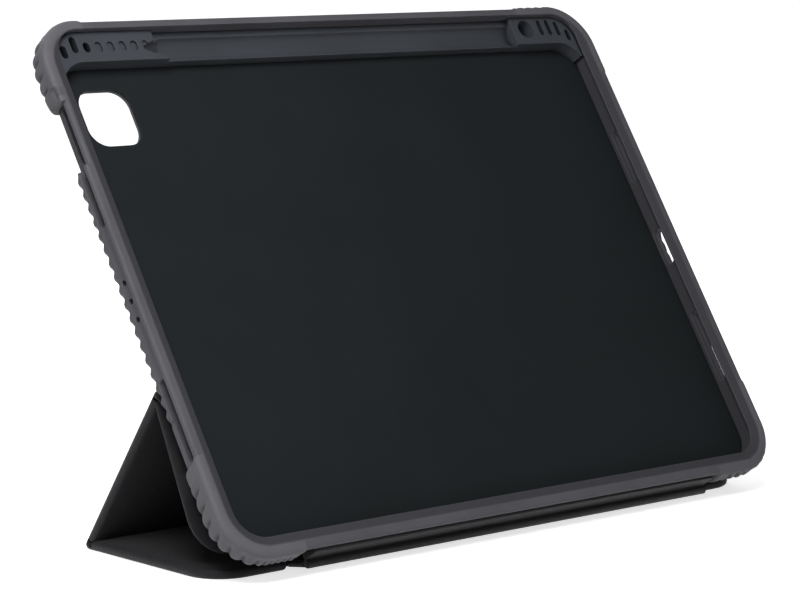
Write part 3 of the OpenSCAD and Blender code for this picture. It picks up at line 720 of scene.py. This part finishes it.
# Outline round the fold's middle, from the panel at one turn to the panel at the next
def foldOutline(turnA, turnB):
    outer, core, wing, tip = foldStrip["radius"], foldStrip["core"], foldStrip["wing"], foldStrip["tip"]
    square, shy = math.pi / 2, outer - tip / 3
    outline = []
    for k in range(foldStrip["arcSteps"] + 1):
        outline.append(polar(outer, turnA - square + (turnB - turnA) * k / foldStrip["arcSteps"]))
    awayB, outB = polar(1, turnB), polar(1, turnB - square)
    outline += [outB * outer + awayB * (wing - tip), outB * shy + awayB * wing,
                outB * core + awayB * wing]
    inner = 2 * math.pi - (turnB - turnA)
    for k in range(foldStrip["coreSteps"] + 1):
        outline.append(polar(core, turnB - square + inner * k / foldStrip["coreSteps"]))
    awayA, outA = -polar(1, turnA), polar(1, turnA - square)
    outline += [outA * core + awayA * wing, outA * shy + awayA * wing,
                outA * outer + awayA * (wing - tip)]
    return outline


# An outline taken along x, drawn in towards its middle at both round ends
def sweptPiece(name, outline, half, endRound, mat, place):
    steps = foldStrip["endSteps"]
    ends = []
    for k in range(steps + 1):
        a = math.pi / 2 * k / steps
        ends.append((half - endRound * (1 - math.cos(a)), max(math.sin(a), foldStrip["least"])))
    stations = [(-x, share) for x, share in ends] + [(x, share) for x, share in reversed(ends)]
    rings = [[(x, p.x * share, p.y * share) for p in outline] for x, share in stations]
    return loftPiece(name, rings, mat, place)


def addFold(name, joint, turnA, turnB):
    middle = foldAt(joint)
    outer = foldStrip["radius"]
    outline = foldOutline(turnA, turnB)
    piece = sweptPiece(name, outline, cover["half"], outer, coverSkin, Matrix.Translation(middle))
    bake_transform(piece)
    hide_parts(joint)


addFold("rearFoldBent", "rear_fold", 0.0, strutTurn)
addFold("topFoldBent", "top_fold", strutTurn, flapTurn)


# The fold at the spine bends the other way, so its strip lies on the skins' side, with a dip over the fold
frontStrip = dict(
    half=94.0, cut=12.0, reach=4.0, proud=0.06, thin=0.4, edge=0.3, flat=2.2, dip=0.9, spineDip=0.25,
    baseDip=-0.12, core=1.2, coreFrom=50.0, coreTurn=280.0, coreSteps=10, bend=1.5, endRound=0.6,
)


def frontWing(along, out, top, dip):
    reach, proud = frontStrip["reach"], frontStrip["proud"]
    steps = [(reach, -frontStrip["thin"]), (reach, proud / 2), (reach - frontStrip["edge"], proud),
             (frontStrip["flat"], proud), (frontStrip["dip"], dip)]
    return [along * far + out * (top + up) for far, up in steps]


def frontOutline():
    square = math.pi / 2
    spineWing = frontWing(-polar(1, spineTurn), polar(1, spineTurn + square), cover["spineThick"] / 2,
                          frontStrip["spineDip"])
    baseWing = frontWing(polar(1, 0.0), polar(1, square), cover["thick"] / 2, frontStrip["baseDip"])
    outline = spineWing + baseWing[::-1]
    for k in range(frontStrip["coreSteps"] + 1):
        turn = frontStrip["coreFrom"] - frontStrip["coreTurn"] * k / frontStrip["coreSteps"]
        outline.append(polar(frontStrip["core"], math.radians(turn)))
    return outline


def addFrontFold():
    middle = foldAt("base_fold")
    piece = sweptPiece("frontFoldBent", frontOutline(), frontStrip["half"], frontStrip["endRound"], coverSkin,
                       Matrix.Translation(middle))
    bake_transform(piece)
    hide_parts("front_fold")


addFrontFold()


# Anchor: a welded pad in the frame's bottom wall, with a web to the spine's bead
anchor = dict(
    half=95.0, padTop=-0.8, padOut=-5.9, padIn=-3.3, corner=0.7, cornerSteps=4, web=1.0, bead=(-7.4, -7.4),
    beadR=1.5, beadFrom=40.0, beadTurn=310.0, beadSteps=14, middleIn=0.3, endRound=0.5,
)


def anchorOutline():
    top, out, inner, web, corner = (anchor[key] for key in ("padTop", "padOut", "padIn", "web", "corner"))
    bead, low = Vector(anchor["bead"]), anchor["bead"][1]
    outline = [Vector((inner, low)), Vector((inner, top))]
    for k in range(anchor["cornerSteps"] + 1):
        turn = math.pi / 2 * (1 + k / anchor["cornerSteps"])
        outline.append(Vector((out + corner, top - corner)) + polar(corner, turn))
    flareOut, flareUp = corner / 7, corner / 3
    outline += [Vector((out, low + web + 2 * corner)), Vector((out - flareOut, low + web + flareUp))]
    for k in range(anchor["beadSteps"] + 1):
        turn = anchor["beadFrom"] + anchor["beadTurn"] * k / anchor["beadSteps"]
        outline.append(bead + polar(anchor["beadR"], math.radians(turn)))
    return outline


# The ends draw in towards a middle inside the web, from which the whole outline can be seen
def addAnchor():
    middle = Vector((anchor["padOut"] + anchor["middleIn"], anchor["bead"][1] + anchor["web"] / 2))
    outline = [p - middle for p in anchorOutline()]
    place = casePlace @ Matrix.Translation(Vector((0, middle.x, middle.y)) * mm)
    piece = sweptPiece("spineAnchorWelded", outline, anchor["half"], anchor["endRound"], coverSkin, place)
    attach(piece, "case")
    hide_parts("spine_anchor")


addAnchor()
print("folds and anchor made")


# Corner bumpers: a section swept round each corner, over the frame's bead; a node tree presses in the ribs
bumper = dict(
    crownIn=-2.85, crownZ=2.1, crownRound=0.3, crownLow=0.06, lipLow=0.1, shoulderIn=-1.2, shoulderZ=0.5,
    shoulderSteps=4, out=0.8, sideSteps=8, rearRound=4.5, roundSteps=10, ribFade=4, footZ=-8.8, footIn=-7.0,
    footRound=0.3, footEdge=0.2, footProud=0.5, sink=0.05, hidden=((-4.4, -7.0), (-3.0, -4.0), (-2.4, 0.4)),
    noRib=-1.0, step=0.3, endSteps=6, knobStep=0.8, knobLevel=0.8, knobFront=0.3, thin=0.03,
)
frameFace = dict(crownZ=1.95, beadR=1.2, beadZ=0.8, waist=-1.4, neckZ=-0.8, rearR=3.0)

# The corners go round from the upper right to the left. Legs are the straight runs before and after the arc,
# and ends the rounded ends past them. The ribs' window is along the path from the arc's start. They reach
# over the shoulder by ribFront, slant with the height, and run finer past fineFrom. A lean draws out the
# front of the first end, and a knob is a lower last end that leaves the bead bare.
corners = dict(
    top_right=dict(legs=(11.0, 15.5), ends=(2.0, 2.0), ribs=(26.0, 44.5), depth=0.8, pitch=4.2,
                   ribFront=0.9, slant=0.0, fineFrom=60.0, lean=0.0, knob=False),
    top_left=dict(legs=(1.0, 7.5), ends=(2.0, 5.0), ribs=(8.0, 40.0), depth=1.7, pitch=5.4,
                  ribFront=-0.15, slant=0.25, fineFrom=60.0, lean=0.0, knob=True),
    bottom_left=dict(legs=(15.5, 10.0), ends=(2.0, 2.4), ribs=(-16.0, 53.0), depth=1.2, pitch=5.2,
                     ribFront=-0.1, slant=0.3, fineFrom=21.0, lean=3.0, knob=False),
    bottom_right=dict(legs=(13.0, 15.5), ends=(2.2, 2.0), ribs=(-13.0, 20.0), depth=1.2, pitch=4.0,
                      ribFront=0.4, slant=0.4, fineFrom=60.0, lean=0.0, knob=False),
)
ribs = dict(fade=2.5, leanReach=20.0, finer=1.0, crest=0.8)


# Points of the section (out, height), each with the frame's own face under it and its share of a rib
def bumperSection():
    out, rearRound, footZ, footIn = (bumper[key] for key in ("out", "rearRound", "footZ", "footIn"))
    inner, crown, crownRound = bumper["crownIn"], bumper["crownZ"], bumper["crownRound"]
    shoulderIn, shoulderZ = bumper["shoulderIn"], bumper["shoulderZ"]
    sink, noRib = bumper["sink"], bumper["noRib"]
    under, beadR, beadZ = frameFace["crownZ"], frameFace["beadR"], frameFace["beadZ"]
    waist, neckZ, rearR = frameFace["waist"], frameFace["neckZ"], frameFace["rearR"]
    lip = (inner - crownRound, under - bumper["lipLow"])
    points = [(lip, lip, noRib),
              ((inner, crown - bumper["crownLow"]), (inner, under), noRib),
              ((inner + crownRound, crown), (inner + crownRound, under), noRib),
              ((shoulderIn, crown), (shoulderIn, under), noRib)]
    for k in range(1, bumper["shoulderSteps"] + 1):
        share = k / bumper["shoulderSteps"]
        a = math.pi / 2 * (1 - share)
        spot = (shoulderIn + (out - shoulderIn) * math.cos(a), shoulderZ + (crown - shoulderZ) * math.sin(a))
        face = (beadR * math.cos(a) - beadR - sink, beadZ + (under - beadZ) * math.sin(a))
        points.append((spot, face, share - 1.0))
    endZ = footZ + rearRound
    for k in range(1, bumper["sideSteps"] + 1):
        share = k / bumper["sideSteps"]
        z = shoulderZ + (endZ - shoulderZ) * share
        neck = max(0.0, min(1.0, (z - neckZ) / (beadZ - neckZ)))
        points.append(((out, z), (waist * (1 - neck) - sink, z), share))
    rearZ = footZ + bumper["footProud"] + rearR
    for k in range(1, bumper["roundSteps"] + 1):
        a = math.pi / 2 * k / bumper["roundSteps"]
        spot = (out - rearRound * (1 - math.cos(a)), endZ - rearRound * math.sin(a))
        face = (waist - sink - rearR * (1 - math.cos(a)), rearZ + sink - rearR * math.sin(a))
        points.append((spot, face, min(1.0, (bumper["roundSteps"] - k) / bumper["ribFade"])))
    back, turned = footZ + bumper["footProud"] + sink, footIn + bumper["footRound"]
    points += [((turned, footZ), (turned, back), noRib),
               ((footIn, footZ + bumper["footEdge"]), (footIn, back), noRib)]
    return points + [(p, p, noRib) for p in ((footIn, back), *bumper["hidden"])]


# Stations along a corner's path: how far along, how full the section is, and how bare its front is left
def bumperStations(spec):
    arc = math.pi / 2 * caseSize["frameR"]
    first, last = -spec["legs"][0], arc + spec["legs"][1]
    quarter = [math.pi / 2 * k / bumper["endSteps"] for k in range(bumper["endSteps"] + 1)]
    thin = bumper["thin"]
    stations = [(first - spec["ends"][0] * math.cos(a), max(thin, math.sin(a)), 0.0) for a in quarter[:-1]]
    count = round((last - first) / bumper["step"])
    stations += [(first + (last - first) * k / count, 1.0, 0.0) for k in range(count + 1)]
    level, bare = 1.0, 0.0
    if spec["knob"]:
        level, bare = bumper["knobLevel"], 1.0
        for a in quarter[1:]:
            turned = math.sin(a) ** 2
            stations.append((last + bumper["knobStep"] * turned, 1 + (level - 1) * turned, turned))
        last += bumper["knobStep"]
    for a in quarter[1:]:
        stations.append((last + spec["ends"][1] * math.sin(a), level * max(thin, math.cos(a)), bare))
    return stations


# A place on the frame's outer edge, and the way out of it, in the case's plane
def cornerPoint(index, along):
    radius = caseSize["frameR"]
    arc = math.pi / 2 * radius
    angle = max(0.0, min(arc, along)) / radius
    out = polar(1, angle)
    spot = out * radius
    if along < 0:
        spot = spot + Vector((0, along))
    elif along > arc:
        spot = spot - Vector((along - arc, 0))
    reach, side = frameHalf if index % 2 == 0 else frameHalf[::-1]
    turn = Matrix.Rotation(math.pi / 2 * index, 2)
    return turn @ (spot + Vector((reach - radius, side - radius))) + Vector(frameMid), turn @ out


def bumperBlank(name, index, spec):
    section = bumperSection()
    stations = bumperStations(spec)
    first = stations[0][0]
    front, rear = bumper["crownZ"], bumper["footZ"]
    points, alongs, shares, outs = [], [], [], []
    for along, full, bare in stations:
        near = max(0.0, 1 + (first - along) / ribs["leanReach"])
        for (o, z), (faceO, faceZ), share in section:
            lean = spec["lean"] * (z - rear) / (front - rear) * near * near
            covered = max(bumper["thin"], min(1.0, share / bumper["knobFront"]))
            fullness = full * (1 - bare + bare * covered)
            spot, way = cornerPoint(index, along - lean)
            o, z = faceO + (o - faceO) * fullness, faceZ + (z - faceZ) * fullness
            points.append((spot.x + way.x * o, spot.y + way.y * o, z))
            ribPlace = along + spec["slant"] * z
            alongs.append(ribPlace + max(0.0, ribPlace - spec["fineFrom"]) * ribs["finer"])
            reach = max(0.0, min(1.0, share + spec["ribFront"])) if share > bumper["noRib"] else 0.0
            shares.append(reach * fullness * (1 - bare))
            outs.append((way.x, way.y, -max(0.0, share)))
    piece = makePiece(name, points, loftFaces(len(stations), len(section)), bumperRubber, casePlace)
    mesh = piece.data
    turn = casePlace.to_3x3()
    mesh.attributes.new("along", "FLOAT", "POINT").data.foreach_set("value", alongs)
    mesh.attributes.new("ribShare", "FLOAT", "POINT").data.foreach_set("value", shares)
    pressed = [c for way in outs for c in -(turn @ Vector(way)).normalized()]
    mesh.attributes.new("inward", "FLOAT_VECTOR", "POINT").data.foreach_set("vector", pressed)
    return piece


# Node tree: rounded ribs at a pitch along the path, pressed in between, within a window that fades out
def ribTree():
    tree = bpy.data.node_groups.new("pressedRibs", "GeometryNodeTree")
    face = tree.interface
    face.new_socket("Geometry", in_out="INPUT", socket_type="NodeSocketGeometry")
    for label in ("Pitch", "Depth", "First", "Last", "Fade"):
        face.new_socket(label, in_out="INPUT", socket_type="NodeSocketFloat")
    face.new_socket("Finish", in_out="INPUT", socket_type="NodeSocketMaterial")
    face.new_socket("Geometry", in_out="OUTPUT", socket_type="NodeSocketGeometry")
    source = tree.nodes.new("NodeGroupInput").outputs
    result = tree.nodes.new("NodeGroupOutput")

    def named(label, kind):
        node = tree.nodes.new("GeometryNodeInputNamedAttribute")
        node.data_type = kind
        node.inputs["Name"].default_value = label
        return node.outputs["Attribute"]

    def maths(operation, a, b=0.0):
        node = tree.nodes.new("ShaderNodeMath")
        node.operation = operation
        for socket, value in zip(node.inputs, (a, b)):
            if isinstance(value, bpy.types.NodeSocket):
                tree.links.new(value, socket)
            else:
                socket.default_value = value
        return node.outputs[0]

    def ramp(value, start, end):
        share = maths("DIVIDE", maths("SUBTRACT", value, start), maths("SUBTRACT", end, start))
        node = tree.nodes.new("ShaderNodeMapRange")
        node.interpolation_type = "SMOOTHSTEP"
        tree.links.new(share, node.inputs["Value"])
        return node.outputs["Result"]

    along = named("along", "FLOAT")
    turns = maths("MULTIPLY", maths("DIVIDE", along, source["Pitch"]), math.pi)
    wave = maths("ABSOLUTE", maths("SINE", turns))
    dip = maths("SUBTRACT", 1.0, maths("POWER", wave, ribs["crest"]))
    opened = ramp(along, source["First"], maths("ADD", source["First"], source["Fade"]))
    closed = ramp(along, source["Last"], maths("SUBTRACT", source["Last"], source["Fade"]))
    window = maths("MULTIPLY", opened, closed)
    pressed = maths("MULTIPLY", maths("MULTIPLY", dip, window), named("ribShare", "FLOAT"))
    scale = tree.nodes.new("ShaderNodeVectorMath")
    scale.operation = "SCALE"
    tree.links.new(named("inward", "FLOAT_VECTOR"), scale.inputs[0])
    tree.links.new(maths("MULTIPLY", pressed, source["Depth"]), scale.inputs["Scale"])
    move = tree.nodes.new("GeometryNodeSetPosition")
    tree.links.new(source["Geometry"], move.inputs["Geometry"])
    tree.links.new(scale.outputs[0], move.inputs["Offset"])
    # The press depth is kept as ribDip, and the rubber finish reads it for its painted groove shade
    mark = tree.nodes.new("GeometryNodeStoreNamedAttribute")
    mark.inputs["Name"].default_value = "ribDip"
    tree.links.new(move.outputs[0], mark.inputs["Geometry"])
    tree.links.new(pressed, mark.inputs["Value"])
    real = tree.nodes.new("GeometryNodeRealizeInstances")
    tree.links.new(mark.outputs[0], real.inputs[0])
    paint = tree.nodes.new("GeometryNodeSetMaterial")
    tree.links.new(real.outputs[0], paint.inputs["Geometry"])
    tree.links.new(source["Finish"], paint.inputs["Material"])
    tree.links.new(paint.outputs[0], result.inputs[0])
    return tree


# The tree's result as a plain mesh on the same object, with the modifier gone
def growRibs(piece, tree, values):
    modifier = piece.modifiers.new("ribs", "NODES")
    modifier.node_group = tree
    for item in tree.interface.items_tree:
        if item.in_out == "INPUT" and item.name in values:
            modifier[item.identifier] = values[item.name]
    bpy.context.view_layer.update()
    grown = bpy.data.meshes.new_from_object(piece.evaluated_get(bpy.context.evaluated_depsgraph_get()))
    piece.modifiers.remove(modifier)
    piece.data = grown


pressedRibs = ribTree()
for index, (place, spec) in enumerate(corners.items()):
    piece = bumperBlank(place + "BumperRibbed", index, spec)
    growRibs(piece, pressedRibs, dict(Pitch=spec["pitch"], Depth=spec["depth"] * mm, First=spec["ribs"][0],
                                      Last=spec["ribs"][1], Fade=ribs["fade"], Finish=bumperRubber))
    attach(piece, "case")
    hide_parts("corner_bumper_" + place)
print("corner bumpers made")
